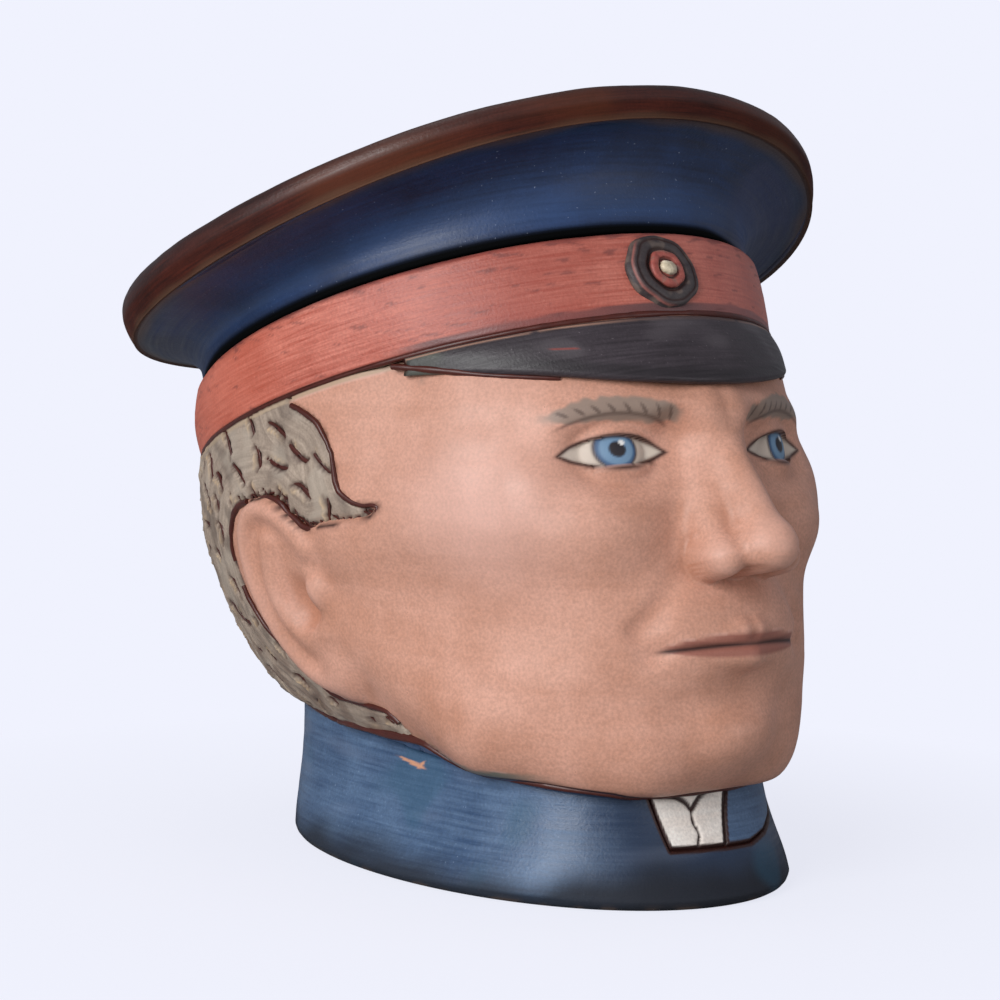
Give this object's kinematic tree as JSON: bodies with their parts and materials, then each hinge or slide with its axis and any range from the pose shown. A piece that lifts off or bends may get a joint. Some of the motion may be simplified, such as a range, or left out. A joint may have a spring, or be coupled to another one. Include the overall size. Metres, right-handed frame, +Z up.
{
  "type": "figural tobacco jar",
  "caption": "Fired clay tobacco jar shaped as a man's head in a peaked cap, with a hollow head and the cap's crown as a lift-off lid.",
  "frame": {"origin": "middle of the flat underside of the foot", "axes": "+Z up, the figure faces -Y, its left side is +X"},
  "size_m": [0.1844, 0.2012, 0.1888],
  "materials": {
    "flesh_terracotta": "matte cold-painted terracotta, fine speckle",
    "hair_grey": "matte cold paint over tooled clay",
    "collar_blue": "satin brushed cold paint, darker at the foot",
    "shirt_white": "matte off-white cold paint",
    "band_red": "satin brushed brick-red cold paint",
    "visor_black": "semi-gloss brushed black cold paint",
    "badge_grey": "satin dark grey cold paint with incised rings",
    "badge_red": "satin dull red cold paint",
    "crown_navy": "satin navy cold paint, fine scratches",
    "welt_brown": "semi-gloss dark brown cold paint, brushed"
  },
  "bodies": {
    "jar": {"collar": "collar_blue", "shirt_front": "shirt_white", "collar_wing": "collar_blue", "head": "flesh_terracotta", "hair": "hair_grey", "cap_band": "band_red", "visor": "visor_black", "cockade_disc": "badge_grey", "cockade_ring": "badge_red", "cockade_boss": "shirt_white"},
    "lid": {"crown": "crown_navy", "crown_welt": "welt_brown"}
  },
  "joints": [
    {"name": "lid_lift", "type": "slide", "parent": "jar", "child": "lid", "axis": [0, 0.3469, 0.9379], "range_m": [0, 0.12]}
  ]
}
